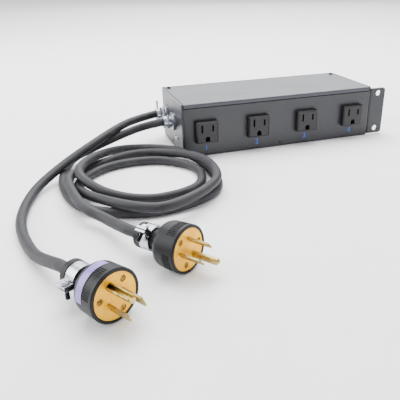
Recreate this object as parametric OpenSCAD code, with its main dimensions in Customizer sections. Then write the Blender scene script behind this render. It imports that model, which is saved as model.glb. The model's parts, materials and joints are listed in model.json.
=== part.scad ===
// Small rack transfer switch: a folded steel case with four NEMA 5-15R outlets, one rack ear,
// two clamp connectors and two NEMA 5-15P supply cords. Millimetres, +Z up, front towards -Y.

/* [Case] */
// Width of the case, without the rack ear
case_w = 240; // [234:1:300]
// Depth of the case behind its front face
case_d = 95; // [92:1:150]
// Height of the case
case_h = 61; // [56:1:90]
// Thickness of the folded chassis sheet
sheet = 1.5; // [1:0.1:2]
// Outside radius of the chassis bends
bend_r = 2.6; // [2.2:0.1:4]
// Thickness of the lid sheet
lid_sheet = 1.2; // [0.8:0.1:1.6]
// Height of the lip that the lid folds down over the front
lid_lip = 4.4; // [3:0.2:7]
// Gap left round the lid
lid_gap = 0.9; // [0.4:0.1:1.4]
// Width of the ledges that carry the lid
ledge_w = 11; // [9:0.5:16]

/* [Outlets] */
// Distance from one outlet to the next
outlet_pitch = 62; // [40:1:66]
// Height of the middle of the outlet faces
outlet_z = 29.4; // [22:0.2:34]
// Width of an outlet face
face_w = 25.6; // [24.4:0.2:30]
// Height of an outlet face
face_h = 24.4; // [23.6:0.2:28]
// How far an outlet stands out of the front
face_out = 7.2; // [4:0.2:10]
// Chamfer round an outlet face
face_chamfer = 1.5; // [0.6:0.1:2.2]
// Width of the outlet body behind the panel
body_w = 23; // [22.4:0.2:24]
// Height of the outlet body behind the panel
body_h = 22; // [21.6:0.2:23]
// Depth of the outlet body behind the front face
body_back = 24; // [20:0.5:28]
// Height of the blade slots above the middle of the face
slot_up = 4.4; // [4:0.1:4.8]

/* [Rack ear] */
// Width of the rack ear beside the case
ear_w = 21; // [18:0.5:28]
// Height of the rack ear
ear_h = 57; // [54:0.5:60]
// Thickness of the rack ear
ear_t = 2; // [1.5:0.1:3]
// Length of the ear's leg along the side of the case
ear_leg = 42; // [30:1:70]
// Distance between the two rack holes
rack_pitch = 44.45; // [40:0.05:46]
// Diameter of the rack holes
rack_hole_d = 7; // [5.5:0.1:8]
// Distance from the side of the case to the rack holes
rack_hole_x = 11.5; // [9.5:0.1:12]
// Radius of the ear's outer corners
ear_corner_r = 3.5; // [1:0.1:5]

/* [Supply cords] */
// Diameter of the cord jacket
cord_d = 9; // [8:0.1:9.4]
// Height of the clamp connectors
gland_z = 33; // [28:0.5:36]
// Distance of the rear connector behind the front face
gland_rear_y = 76; // [70:0.5:78]
// Distance of the front connector behind the front face
gland_front_y = 39; // [37:0.5:42]
// Length of a connector outside the case
gland_len = 13; // [12:0.5:18]
// Radius of a connector's flange
gland_flange_r = 10.5; // [9.5:0.1:11.5]
// Radius of a connector's thread through the wall
gland_thread_r = 8; // [7.4:0.1:8.6]
// Distance of a clamp screw from the cord's axis
gland_screw_y = 10; // [9.6:0.1:11]

/* [Plugs] */
// Radius of the plug shell at its face
shell_r = 18.2; // [17.5:0.1:20]
// Length of the shell's tapered side
shell_len = 16; // [14:0.5:20]
// Taper of the shell's side, in degrees
shell_taper = 2.5; // [1:0.1:4]
// Radius of the shell's rear shoulder
shoulder_r = 6; // [4:0.5:7]
// Radius of the gold face disc
disc_r = 15.8; // [15:0.1:16.4]
// Radius of the neck behind the shell
neck_r = 8.2; // [7.5:0.1:9]
// Length from the plug face to the end of the collar
plug_len = 46; // [44:0.5:54]
// Length of the line and neutral blades
blade_len = 17.9; // [15.9:0.1:18.3]
// Length of the ground pin
pin_len = 22.2; // [20:0.1:23]
// Thickness of the cord straps
strap_t = 1.6; // [1.2:0.1:2]
// Length of the cord straps along the neck
strap_w = 9; // [7:0.5:10]
// Distance of a strap screw from the plug's axis
strap_screw_x = 12.4; // [12:0.1:13.5]

/* [Inside] */
// Length of the control board
board_l = 112; // [100:1:116]
// Width of the control board
board_w = 46; // [42:1:50]
// Height of the board's stand-offs
standoff_h = 6.5; // [4:0.5:10]
// Length of the heat sink
sink_l = 68; // [60:1:72]
// Height of the heat sink's fins
fin_h = 30; // [15:1:36]
// Number of fins
fins = 12; // [6:1:14]

/* [Hidden] */

$fn = 48;
fit = 0.15;              // clearance between a piece and the hole it passes
eps = 0.01;              // overshoot of a cut

// NEMA 5-15 blade layout
blade_gap = 12.7;        // between the two blades
ground_drop = 11.9;      // from the blades to the ground pin
blade_t = 1.5;
blade_h = 6.35;
pin_w = 4.8;
pin_wall = 0.9;

outlets = 4;
outlet_x = [for (i = [0:outlets - 1]) case_w / 2 + (i - (outlets - 1) / 2) * outlet_pitch];
slot_w = 2.1;
line_slot_h = 7;
neutral_slot_h = 8.6;
ground_slot_w = 5.4;
ground_slot_h = 5.8;
skin = 2.5;              // front and rear wall of an outlet body
contact_t = 0.6;
tab_out = 7;             // contact tab behind the outlet

lid_z = case_h - lid_sheet;
lip_z = case_h - lid_lip;
ledge_t = 1.2;
ledge_leg = 7;
ledge_len = 14;
lid_screw_d = 3;
lid_screw_y = case_d - 9;
screw_head_h = 1.6;

ear_z = (case_h - ear_h) / 2 - 0.5;
rack_z = ear_z + ear_h / 2;
rivet_d = 4.8;
rivet_pitch = 30;

bore_r = cord_d / 2 + 0.2;
flange_t = 3;
thread_len = 9;
locknut_t = 3.4;
jaw_x = 5;               // where the jaws begin, outside the wall
jaw_t = 2.2;
jaw_split = 0.6;
clamp_screw_x = (jaw_x + gland_len) / 2;
clamp_screw_r = 1.3;
clamp_tips = [14, 10.5]; // tips of the rear and the front screw above the cord's axis

rim_t = 1.6;             // depth of the recess round the disc
disc_t = 3;
disc_sunk = 0.5;
blade_drop = 3.7;        // blades below the middle of the face
face_screw_r = 11.4;
shell_rear_r = shell_r - shell_len * tan(shell_taper);
collar_t = 6;
collar_r = neck_r + 1.8;
strap_at = plug_len - collar_t - strap_w / 2 - 0.6;
strap_r = neck_r + strap_t + fit;
strap_screw_d = 3.4;
clamp_turn = -21.8;      // turn of the cord clamp against the ground pin
strap_split = 1;
grip_from = 3;
grip_len = 7;
grip_grooves = 15;
grip_step = 5;

standoff_r = 3;
board_t = 1.6;
board_x = 26;
board_y = case_d - sheet - board_w - 5;
board_z = sheet + standoff_h;
sink_x = case_w - sheet - sink_l - 10;
sink_y = 38;
sink_base = 4;
sink_d = case_d - sheet - 4 - sink_y;

// The whole switch is moved so that its origin is under the middle of the case, its ear,
// its outlets and its connectors.
mid_x = (case_w + ear_w - gland_len) / 2;
mid_y = (case_d - face_out) / 2;

// Each plug lies on the taper of its shell, so its nose points up by that angle.
plug_z = shell_r / cos(shell_taper);
// [place of the face, turn from the front, roll of the ground pin]
plug_a = [[-112, -261, plug_z], 30, 22];
plug_b = [[-56, -224, plug_z], 35, -139];

function plug_axis(turn) = [cos(shell_taper) * sin(turn), -cos(shell_taper) * cos(turn), sin(shell_taper)];
function behind(plug, back) = plug[0] - back * plug_axis(plug[1]);

// The routes of the two cords from the connectors to the plugs, from the front left corner
// of the case. Cord A lies in one open bend. Cord B takes three loose turns.
cord_r = cord_d / 2;
clamp_out = -gland_len - 3;
route_a = [
    [-jaw_x, gland_rear_y, gland_z], [clamp_out, gland_rear_y, gland_z],
    [-54, 55, 31], [-94, 19, 24], [-134, -16, 13], [-160, -53, 5.5], [-170, -111, 5], [-161, -166, 5.5],
    behind(plug_a, plug_len + 14), behind(plug_a, plug_len)];

// The turns of cord B: [distance from the middle of the turns, height] at each eighth of a turn
turns_mid = [-57, -47];
turns_from = 135;
turns = [
    [91, 6.5], [75, 5], [81, 4.6], [82, 4.6], [84, 5], [71, 5], [70, 10], [86, 6.5],
    [60, 16], [59, 16.5], [54, 9.5], [56, 5], [64, 5.5], [59, 4.6], [49, 5], [45, 4.6],
    [49, 5], [61, 5.5], [69, 10.5], [98, 15.5], [84, 15], [67, 14.5], [57, 11.5], [63, 7],
    [63, 5], [69, 13], [90, 14]];
route_b = concat(
    [[-jaw_x, gland_front_y, gland_z], [clamp_out, gland_front_y, gland_z], [-45, 47, 25.5], [-93, 32, 15]],
    [for (i = [0:len(turns) - 1]) let(a = turns_from + 45 * i)
        [turns_mid[0] + turns[i][0] * cos(a), turns_mid[1] + turns[i][0] * sin(a), turns[i][1]]],
    [[-104, -140, 11], behind(plug_b, plug_len + 14), behind(plug_b, plug_len)]);

function unit(v) = v / norm(v);
function at(pts, i) = pts[max(0, min(len(pts) - 1, i))];
function mid(pts, i) = (9 * (at(pts, i) + at(pts, i + 1)) - at(pts, i - 1) - at(pts, i + 2)) / 16;
// The route's points, with one more on the curve between each two but the first and last pair
function rings(pts) = [for (i = [0:len(pts) - 1]) each
    i == 0 || i > len(pts) - 3 ? [pts[i]] : [pts[i], mid(pts, i)]];
function along(c, i) = unit(at(c, i + 1) - at(c, i - 1));
function ring(c, i, r, n) = let(t = along(c, i), s = unit(cross(t, [0, 0, 1])), u = cross(s, t))
    [for (k = [0:n - 1]) c[i] + r * (cos(360 * k / n) * s + sin(360 * k / n) * u)];

module cord(route) {
    n = 10;
    c = rings(route);
    last = len(c) - 1;
    points = [for (i = [0:last]) each ring(c, i, cord_r, n)];
    sides = [for (i = [0:last - 1], k = [0:n - 1])
        [i * n + k, i * n + (k + 1) % n, (i + 1) * n + (k + 1) % n, (i + 1) * n + k]];
    ends = [[for (k = [0:n - 1]) n - 1 - k], [for (k = [0:n - 1]) last * n + k]];
    color("dimgray") seat() polyhedron(points, concat(sides, ends), convexity = 8);
}

module seat() {
    translate([-mid_x, -mid_y, 0]) children();
}

// ---- folded sheet ----

module round_rect(w, d, r) {
    translate([r, 0]) square([w - 2 * r, d]);
    translate([0, r]) square([w, d - 2 * r]);
    for (x = [r, w - r], y = [r, d - r]) translate([x, y]) circle(r);
}

// A block with rounded upright and bottom edges, as a folded tray has
module tray_block(w, d, h, r) {
    intersection() {
        linear_extrude(h) round_rect(w, d, r);
        translate([0, d, 0]) rotate([90, 0, 0]) linear_extrude(d) round_rect(w, h + 2 * r, r);
        rotate([90, 0, 90]) linear_extrude(w) round_rect(d, h + 2 * r, r);
    }
}

module x_hole(r, len) {
    rotate([0, 90, 0]) cylinder(r = r, h = len);
}

module y_hole(r, len) {
    rotate([-90, 0, 0]) cylinder(r = r, h = len);
}

module ledge() {
    translate([0, 0, lid_z - ledge_t]) cube([ledge_w, ledge_len, ledge_t]);
    translate([0, 0, lid_z - ledge_leg]) cube([ledge_t, ledge_len, ledge_leg]);
}

module chassis() {
    inner = sheet + lid_gap;
    color("#3a3c42") seat() difference() {
        union() {
            difference() {
                tray_block(case_w, case_d, case_h, bend_r);
                translate([sheet, sheet, sheet])
                    tray_block(case_w - 2 * sheet, case_d - 2 * sheet, case_h, bend_r - sheet);
                translate([inner - lid_gap, -eps, lip_z - lid_gap])
                    cube([case_w - 2 * sheet, sheet + 1, case_h]);
            }
            for (y = [8, lid_screw_y - ledge_len / 2]) {
                translate([sheet, y, 0]) ledge();
                translate([case_w - sheet, y, 0]) mirror([1, 0, 0]) ledge();
            }
        }
        for (x = outlet_x)
            translate([x - body_w / 2 - fit, -1, outlet_z - body_h / 2 - fit])
                cube([body_w + 2 * fit, sheet + 2, body_h + 2 * fit]);
        for (y = [gland_rear_y, gland_front_y])
            translate([-1, y, gland_z]) x_hole(gland_thread_r + fit, sheet + 2);
        for (x = lid_screw_xs()) translate([x, lid_screw_y, lid_z - 3]) cylinder(d = lid_screw_d + 2 * fit, h = 4);
        for (y = rivet_ys()) translate([case_w - sheet - 1, y, rack_z]) x_hole(rivet_d / 2 + fit, sheet + 2);
        translate([-1, bracket_screw_y(), bracket_screw_z()]) x_hole(2 + fit, sheet + 2);
        translate([-1, 46, 8]) x_hole(1.7, sheet + 2);
        translate([indicator_x(), -1, indicator_z()]) y_hole(1.6 + fit, sheet + 2);
    }
}

function lid_screw_xs() = [for (s = [0, 1]) s * case_w + (1 - 2 * s) * (sheet + ledge_w / 2)];

module lid() {
    edge = sheet + lid_gap;
    w = case_w - 2 * edge;
    bend = lid_sheet + 0.5;
    color("#43454c") seat() difference() {
        translate([edge, 0, 0]) union() {
            translate([0, bend, lid_z]) cube([w, case_d - edge - bend, lid_sheet]);
            translate([0, 0, lip_z]) cube([w, lid_sheet, lid_lip - bend]);
            translate([0, bend, case_h - bend]) rotate([90, 0, 90]) linear_extrude(w) intersection() {
                difference() {
                    circle(bend);
                    circle(bend - lid_sheet);
                }
                translate([-bend, 0]) square(bend);
            }
        }
        for (x = lid_screw_xs()) translate([x, lid_screw_y, lid_z - 1]) cylinder(d = lid_screw_d + 2 * fit, h = 3);
    }
}

module lid_screws() {
    color("#26272b") seat() for (x = lid_screw_xs()) translate([x, lid_screw_y, 0]) {
        translate([0, 0, lid_z - 7]) cylinder(d = lid_screw_d, h = 7 + lid_sheet + eps);
        translate([0, 0, case_h]) difference() {
            cylinder(r1 = 2.8, r2 = 2, h = screw_head_h);
            translate([0, 0, 0.6]) cylinder(r = 1, h = 2, $fn = 6);
        }
    }
}

// ---- rack ear ----

function rivet_ys() = [for (s = [-1, 1]) ear_t + 3 + (ear_leg - ear_t - 3) / 2 + s * rivet_pitch / 2 * (ear_leg - 10) / 32];

module ear_outline() {
    difference() {
        square([ear_w, ear_h]);
        for (s = [0, 1]) translate([ear_w - ear_corner_r, s * (ear_h - ear_corner_r)])
            square(ear_corner_r + eps);
    }
    for (z = [ear_corner_r, ear_h - ear_corner_r]) translate([ear_w - ear_corner_r, z]) circle(ear_corner_r);
}

module rack_ear() {
    inner_r = 0.8;
    outer_r = inner_r + ear_t;
    color("#3a3c42") seat() translate([case_w, 0, ear_z]) difference() {
        union() {
            translate([0, 0.6 + ear_t, 0]) rotate([90, 0, 0]) linear_extrude(ear_t) difference() {
                ear_outline();
                translate([-eps, -eps]) square([outer_r, ear_h + 2 * eps]);
            }
            translate([0, 0.6 + outer_r, 0]) cube([ear_t, ear_leg - outer_r, ear_h]);
            translate([outer_r, 0.6 + outer_r, 0]) linear_extrude(ear_h) intersection() {
                difference() {
                    circle(outer_r);
                    circle(inner_r);
                }
                translate([-outer_r, -outer_r]) square(outer_r);
            }
        }
        for (s = [-1, 1]) translate([rack_hole_x, -1, ear_h / 2 + s * rack_pitch / 2])
            y_hole(rack_hole_d / 2, ear_t + 3);
        for (y = rivet_ys()) translate([-1, y, ear_h / 2]) x_hole(rivet_d / 2 + fit, ear_t + 2);
    }
}

module ear_rivets() {
    color("#2b2c30") seat() for (y = rivet_ys()) translate([case_w, y, rack_z]) rotate([0, 90, 0]) {
        translate([0, 0, -sheet - 2]) cylinder(d = rivet_d, h = sheet + 2 + ear_t + eps);
        translate([0, 0, -sheet - 2]) cylinder(r = rivet_d / 2 + 0.8, h = 2);
        translate([0, 0, ear_t]) rotate_extrude() intersection() {
            translate([0, -2.6]) circle(r = 4.2);
            square([5, 2]);
        }
    }
}

// ---- outlets ----

module face_block(w, h, out, c) {
    intersection() {
        translate([0, 0, -h / 2]) linear_extrude(h)
            polygon([[-w / 2, 0], [w / 2, 0], [w / 2, c - out], [w / 2 - c, -out], [c - w / 2, -out], [-w / 2, c - out]]);
        translate([-w / 2, 0, 0]) rotate([90, 0, 90]) linear_extrude(w)
            polygon([[0, -h / 2], [0, h / 2], [c - out, h / 2], [-out, h / 2 - c], [-out, c - h / 2], [c - out, -h / 2]]);
    }
}

module ground_outline() {
    r = ground_slot_w / 2;
    translate([0, ground_slot_h / 2 - r]) circle(r);
    translate([-r, -ground_slot_h / 2]) square([ground_slot_w, ground_slot_h - r]);
}

// Middle of the neutral, line and ground contacts, seen from the front
contact_at = [[-blade_gap / 2, slot_up], [blade_gap / 2, slot_up], [0, slot_up - ground_drop]];
chamber_w = [5.4, 5.4, 7.4];
chamber_h = [9.2, 9.2, 7.2];

module outlet(x) {
    color("#1d1e21") seat() translate([x, 0, outlet_z]) difference() {
        union() {
            face_block(face_w, face_h, face_out, face_chamfer);
            translate([-body_w / 2, -eps, -body_h / 2]) cube([body_w, body_back + eps, body_h]);
            for (s = [0, 1]) mirror([s, 0, 0]) translate([body_w / 2 - eps, sheet + fit, -3])
                linear_extrude(6) polygon([[0, 0], [1.2, 0], [0, 7]]);
        }
        for (s = [-1, 1]) translate([s * blade_gap / 2, -face_out - 1, slot_up])
            translate([-slot_w / 2, 0, -(s < 0 ? neutral_slot_h : line_slot_h) / 2])
                cube([slot_w, skin + 2, s < 0 ? neutral_slot_h : line_slot_h]);
        translate([0, skin + 1 - face_out, slot_up - ground_drop]) rotate([90, 0, 0])
            linear_extrude(skin + 2) ground_outline();
        for (i = [0:2]) translate([contact_at[i][0], skin - face_out, contact_at[i][1]]) {
            translate([-chamber_w[i] / 2, 0, -chamber_h[i] / 2])
                cube([chamber_w[i], body_back + face_out - 2 * skin, chamber_h[i]]);
            translate([-0.4 - fit, 1, -3.2 - fit])
                cube([0.8 + 2 * fit, body_back + face_out, 6.4 + 2 * fit]);
        }
    }
}

// A sprung clip that grips a blade, with a tab through the rear wall of the outlet
module contact(gap, h, chamber) {
    back = body_back - skin;
    for (s = [0, 1]) mirror([s, 0, 0]) linear_extrude(h) polygon([
        [gap / 2, back - 2], [gap / 2, 4 - face_out], [gap / 2 + 0.5, 3.4 - face_out],
        [gap / 2 + 0.5 + contact_t, 3.4 - face_out], [gap / 2 + contact_t, 4.2 - face_out],
        [gap / 2 + contact_t, back - 2]]);
    translate([-chamber / 2 + fit, back - 2, 0]) cube([chamber - 2 * fit, 2, h]);
    translate([-0.4, back - eps, (h - 6.35) / 2]) cube([0.8, skin + tab_out, 6.35]);
}

module contacts(x) {
    color("goldenrod") seat() for (i = [0:2])
        translate([x + contact_at[i][0], 0, outlet_z + contact_at[i][1] - (i < 2 ? 8 : 6.6) / 2])
            contact(i < 2 ? 1.3 : 4.5, i < 2 ? 8 : 6.6, chamber_w[i]);
}

// ---- clamp connectors: the cord's axis is -X, the wall is at x = 0 ----

module jaw_outline() {
    half = gland_screw_y + 3;
    difference() {
        union() {
            circle(bore_r + jaw_t);
            translate([-half, -1.8]) square([2 * half, 1.8]);
            for (s = [-1, 1]) translate([s * half, -0.9]) circle(0.9);
        }
        circle(bore_r);
        translate([-half - 2, -jaw_split / 2]) square([2 * half + 4, 2 * gland_flange_r]);
    }
}

// One jaw with its screw ears, below the cord's axis
module jaw() {
    difference() {
        rotate([90, 0, -90]) translate([0, 0, jaw_x]) linear_extrude(gland_len - jaw_x) jaw_outline();
        for (s = [-1, 1]) translate([-clamp_screw_x, s * gland_screw_y, -4])
            cylinder(r = clamp_screw_r + fit, h = 8);
    }
}

module connector(y) {
    color("#b9bcc0") seat() translate([0, y, gland_z]) {
        difference() {
            union() {
                rotate([0, -90, 0]) rotate_extrude() polygon([
                    [0, -sheet - thread_len], [gland_thread_r - 0.8, -sheet - thread_len],
                    [gland_thread_r, 0.8 - sheet - thread_len], [gland_thread_r, 0],
                    [gland_flange_r, 0], [gland_flange_r, flange_t - 0.6],
                    [gland_flange_r - 0.6, flange_t], [bore_r + jaw_t, flange_t + 1],
                    [bore_r + jaw_t, jaw_x + 0.5], [0, jaw_x + 0.5]]);
            }
            translate([-gland_len - 1, 0, 0]) x_hole(bore_r, gland_len + 1);
        }
        jaw();
    }
}

module saddle(y) {
    color("#c6c8cc") seat() translate([0, y, gland_z]) mirror([0, 0, 1])
        difference() {
            jaw();
            translate([-jaw_x - 0.5 - fit, -gland_flange_r, -gland_flange_r])
                cube([gland_flange_r, 2 * gland_flange_r, 2 * gland_flange_r]);
        }
}

module clamp_screws(y) {
    color("#d2d4d8") seat() for (s = [0, 1])
        translate([-clamp_screw_x, y + (1 - 2 * s) * gland_screw_y, gland_z]) {
            translate([0, 0, -1.8]) cylinder(r = clamp_screw_r, h = clamp_tips[s] + 1.8);
            translate([0, 0, -1.8 - 2]) difference() {
                cylinder(r1 = 2.3, r2 = 2.8, h = 2);
                translate([-3, -0.4, -1]) cube([6, 0.8, 1.8]);
            }
        }
}

module locknut(y) {
    teeth = 8;
    color("#b9bcc0") seat() translate([sheet, y, gland_z]) rotate([0, 90, 0]) difference() {
        linear_extrude(locknut_t) {
            circle(gland_thread_r + 1.8);
            for (k = [0:teeth - 1]) rotate(360 * k / teeth) translate([0, -1.6]) square([gland_thread_r + 3.4, 3.2]);
        }
        translate([0, 0, -1]) cylinder(r = gland_thread_r + fit, h = locknut_t + 2);
    }
}

// ---- screw and lamp in the case walls ----

function bracket_screw_y() = 25;
function bracket_screw_z() = 17;
function indicator_x() = outlet_x[1] + 0.5 * outlet_pitch;
function indicator_z() = 6;

module bracket_screw() {
    color("#d2d4d8") seat() translate([0, bracket_screw_y(), bracket_screw_z()]) rotate([0, 90, 0]) {
        cylinder(r = 2, h = 7);
        translate([0, 0, -2]) difference() {
            cylinder(r1 = 2.4, r2 = 3.4, h = 2);
            translate([-4, -0.5, -1]) cube([8, 1, 1.8]);
        }
        translate([0, 0, sheet]) difference() {
            cylinder(r = 3.6, h = 2.6, $fn = 6);
            translate([0, 0, -1]) cylinder(r = 1.9, h = 5);
        }
    }
}

module indicator() {
    color("#8a8d92") seat() translate([indicator_x(), 0, indicator_z()]) rotate([90, 0, 0]) {
        translate([0, 0, -sheet - 3]) cylinder(r = 1.6, h = sheet + 3 + eps);
        rotate_extrude() intersection() {
            translate([0, -1.2]) circle(r = 2.4);
            square([3, 2]);
        }
    }
}

// ---- plugs: the plug's axis is +Z, its face is at z = 0 and its ground pin towards +Y ----

module plug_place(plug) {
    seat() translate(plug[0]) rotate([90 - shell_taper, 0, plug[1]]) rotate([0, 0, plug[2]]) children();
}

module grip_grooves() {
    for (patch = [0:2], k = [0:grip_grooves - 1])
        rotate(90 + 19 + 120 * patch + (k - (grip_grooves - 1) / 2) * grip_step)
            translate([shell_rear_r - 0.2, -0.45]) square([shell_r, 0.9]);
}

module shell(plug) {
    color("#232428") plug_place(plug) difference() {
        union() {
            rotate_extrude() {
                polygon([[0, 0], [shell_r - 0.8, 0], [shell_r - 0.05, -0.8], [shell_rear_r, -shell_len],
                         [shell_rear_r - shoulder_r, -shell_len - shoulder_r], [0, -shell_len - shoulder_r]]);
                translate([shell_rear_r - shoulder_r, -shell_len]) circle(shoulder_r);
            }
            translate([0, 0, -plug_len]) cylinder(r = neck_r, h = plug_len - 1);
            translate([0, 0, -plug_len]) rotate_extrude()
                polygon([[0, 0], [collar_r - 1, 0], [collar_r, 1], [collar_r, collar_t - 0.6],
                         [collar_r - 0.6, collar_t], [0, collar_t]]);
        }
        translate([0, 0, -disc_t - disc_sunk]) cylinder(r = disc_r + fit, h = disc_t + 1);
        translate([0, 0, -grip_from - grip_len]) linear_extrude(grip_len) grip_grooves();
        // room for the roots of the blades and the pin
        for (s = [-1, 1]) translate([s * blade_gap / 2, -blade_drop, -disc_t - 5]) cube([4, 9, 12], center = true);
        translate([0, ground_drop - blade_drop, -disc_t - 5]) cube([7, 7, 12], center = true);
        for (t = face_screw_turns()) rotate(t) translate([face_screw_r, 0, -disc_t - 6]) cylinder(r = 1.3, h = 7);
    }
}

function face_screw_turns() = [30, 150, 270];

module u_outline(w) {
    translate([0, 0]) difference() {
        union() {
            circle(w / 2);
            translate([-w / 2, 0]) square([w, w / 2]);
        }
        circle(w / 2 - pin_wall);
        translate([pin_wall - w / 2, 0]) square([w - 2 * pin_wall, w]);
    }
}

module face(plug) {
    color("gold") plug_place(plug) difference() {
        translate([0, 0, -disc_t - disc_sunk + fit]) cylinder(r = disc_r, h = disc_t - fit);
        for (s = [-1, 1]) translate([s * blade_gap / 2, -blade_drop, 0])
            cube([blade_t + 2 * fit, blade_h + (s > 0 ? 1.6 : 0) + 2 * fit, 12], center = true);
        translate([0, ground_drop - blade_drop, -6]) linear_extrude(12) {
            circle(pin_w / 2 + fit);
            translate([-pin_w / 2 - fit, 0]) square([pin_w + 2 * fit, pin_w / 2 + fit]);
        }
        for (t = face_screw_turns()) rotate(t) translate([face_screw_r, 0, -disc_t - 1]) {
            cylinder(r = 1.2 + fit, h = 8);
            translate([0, 0, 1.6]) cylinder(r = 2.3, h = 8);
        }
    }
}

module face_screws(plug) {
    color("#8c7a4a") plug_place(plug) for (t = face_screw_turns())
        rotate(t) translate([face_screw_r, 0, -disc_t - 4]) {
            cylinder(r = 1.2, h = 4.7);
            translate([0, 0, 4.6]) difference() {
                cylinder(r = 2.1, h = 1.3);
                translate([-3, -0.35, 0.6]) cube([6, 0.7, 1]);
            }
        }
}

// A blade with its bevelled tip, h high, at one side of the face
module blade(plug, side, h) {
    c = 1.4;
    root = disc_t + 4;
    color("#c9a45c") plug_place(plug)
        translate([side * blade_gap / 2, -blade_drop, 0]) intersection() {
            translate([-blade_t / 2, 0, 0]) rotate([90, 0, 90]) linear_extrude(blade_t)
                polygon([[-h / 2, -root], [h / 2, -root], [h / 2, blade_len - c], [h / 2 - c, blade_len],
                         [c - h / 2, blade_len], [-h / 2, blade_len - c]]);
            translate([0, h, 0]) rotate([90, 0, 0]) linear_extrude(2 * h)
                polygon([[-blade_t / 2, -root], [blade_t / 2, -root], [blade_t / 2, blade_len - 1.6],
                         [0.3, blade_len], [-0.3, blade_len], [-blade_t / 2, blade_len - 1.6]]);
        }
}

// The folded ground pin: a channel that is open away from the blades, with a closed round nose
module ground_pin(plug) {
    root = disc_t + 4;
    nose = pin_w / 2;
    color("#c9a45c") plug_place(plug) translate([0, ground_drop - blade_drop, 0]) {
        translate([0, 0, -root]) linear_extrude(root + pin_len - nose) u_outline(pin_w);
        translate([0, 0, pin_len - nose]) intersection() {
            sphere(nose);
            translate([-nose, -nose, 0]) cube([pin_w, nose + 0.9, nose]);
        }
    }
}

// ---- cord clamp of a plug: two straps on the neck, split across the screws ----

module strap_outline() {
    half = strap_screw_x + 3.6;
    difference() {
        union() {
            circle(strap_r);
            translate([-half, 0]) square([2 * half, strap_split / 2 + strap_t]);
        }
        circle(neck_r + fit);
        translate([-half - 1, -strap_r - 1]) square([2 * half + 2, strap_r + 1 + strap_split / 2]);
    }
}

module half_strap() {
    difference() {
        translate([0, 0, -strap_w / 2]) linear_extrude(strap_w) strap_outline();
        for (s = [-1, 1]) translate([s * strap_screw_x, 0, 0]) rotate([-90, 0, 0])
            cylinder(d = strap_screw_d + 2 * fit, h = 6);
    }
}

module clamp_place(plug) {
    plug_place(plug) rotate([0, 0, clamp_turn]) translate([0, 0, -strap_at]) children();
}

module strap(plug) {
    color("#c6c8cc") clamp_place(plug) half_strap();
}

module cradle(plug) {
    color("#b0b3b8") clamp_place(plug) mirror([0, 1, 0]) half_strap();
}

module strap_screws(plug) {
    top = strap_split / 2 + strap_t;
    color("#d2d4d8") clamp_place(plug) for (s = [-1, 1]) translate([s * strap_screw_x, 0, 0]) rotate([-90, 0, 0]) {
        translate([0, 0, -14]) cylinder(d = strap_screw_d, h = 14 + top + eps);
        translate([0, 0, top]) difference() {
            cylinder(r1 = 3.4, r2 = 2.6, h = 2.2);
            translate([-4, -0.4, 1.2]) cube([8, 0.8, 2]);
        }
        translate([0, 0, -top - 2.4]) difference() {
            translate([-2.9, -2.9, 0]) cube([5.8, 5.8, 2.4]);
            translate([0, 0, -1]) cylinder(d = strap_screw_d - 0.2, h = 5);
        }
    }
}

// ---- inside ----

board_holes = [for (x = [board_x + 5, board_x + board_l - 5], y = [board_y + 5, board_y + board_w - 5]) [x, y]];

module standoffs() {
    color("silver") seat() for (p = board_holes) translate([p[0], p[1], sheet])
        cylinder(r = standoff_r, h = standoff_h, $fn = 6);
}

module board() {
    color("darkgreen") seat() difference() {
        translate([board_x, board_y, board_z]) cube([board_l, board_w, board_t]);
        for (p = board_holes) translate([p[0], p[1], board_z - 1]) cylinder(r = 1.6, h = board_t + 2);
    }
}

module on_board(x, y) {
    seat() translate([board_x + x, board_y + y, board_z + board_t]) children();
}

module transformer() {
    color("#6b5b3c") on_board(22, 8) difference() {
        cube([30, 26, 24]);
        for (y = [-1, 20]) translate([4, y, 6]) cube([22, 7, 12]);
    }
    color("#b8862d") on_board(22, 8) translate([5, 1, 7]) cube([20, 4.8, 10]);
}

module relays() {
    color("#20304a") for (i = [0:2]) on_board(60 + 17 * i, 6) {
        cube([13, 28, 15]);
        for (y = [4, 14, 24]) translate([5, y, -board_t]) cube([3, 1, board_t + 1]);
    }
}

module terminals() {
    color("#1f6b3a") on_board(2, 12) difference() {
        cube([9, 25, 12]);
        for (k = [0:3]) translate([-1, 2 + 6 * k, 2]) cube([6, 4, 5]);
    }
}

module heat_sink() {
    step = (sink_l - 2) / (fins - 1);
    color("silver") seat() translate([sink_x, sink_y, sheet]) {
        cube([sink_l, sink_d, sink_base]);
        for (k = [0:fins - 1]) translate([k * step, 20, sink_base - eps]) cube([2, sink_d - 20, fin_h]);
    }
}

module thyristors() {
    color("#26272b") seat() for (k = [0:2]) translate([sink_x + 3 + k * 22, sink_y + 1, sheet + sink_base]) {
        cube([18, 16, 10]);
        for (x = [3, 8, 13]) translate([x, 6, 10 - eps]) cube([2, 4, 3]);
    }
}

chassis();
lid();
lid_screws();
rack_ear();
ear_rivets();
bracket_screw();
indicator();
outlet(outlet_x[0]);  // outlet_1
outlet(outlet_x[1]);  // outlet_2
outlet(outlet_x[2]);  // outlet_3
outlet(outlet_x[3]);  // outlet_4
contacts(outlet_x[0]);  // contacts_1
contacts(outlet_x[1]);  // contacts_2
contacts(outlet_x[2]);  // contacts_3
contacts(outlet_x[3]);  // contacts_4
connector(gland_rear_y);  // connector_rear
connector(gland_front_y);  // connector_front
saddle(gland_rear_y);  // saddle_rear
saddle(gland_front_y);  // saddle_front
clamp_screws(gland_rear_y);  // clamp_screws_rear
clamp_screws(gland_front_y);  // clamp_screws_front
locknut(gland_rear_y);  // locknut_rear
locknut(gland_front_y);  // locknut_front
cord(route_a);  // cord_a
cord(route_b);  // cord_b
shell(plug_a);  // shell_a
shell(plug_b);  // shell_b
face(plug_a);  // face_a
face(plug_b);  // face_b
face_screws(plug_a);  // face_screws_a
face_screws(plug_b);  // face_screws_b
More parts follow.
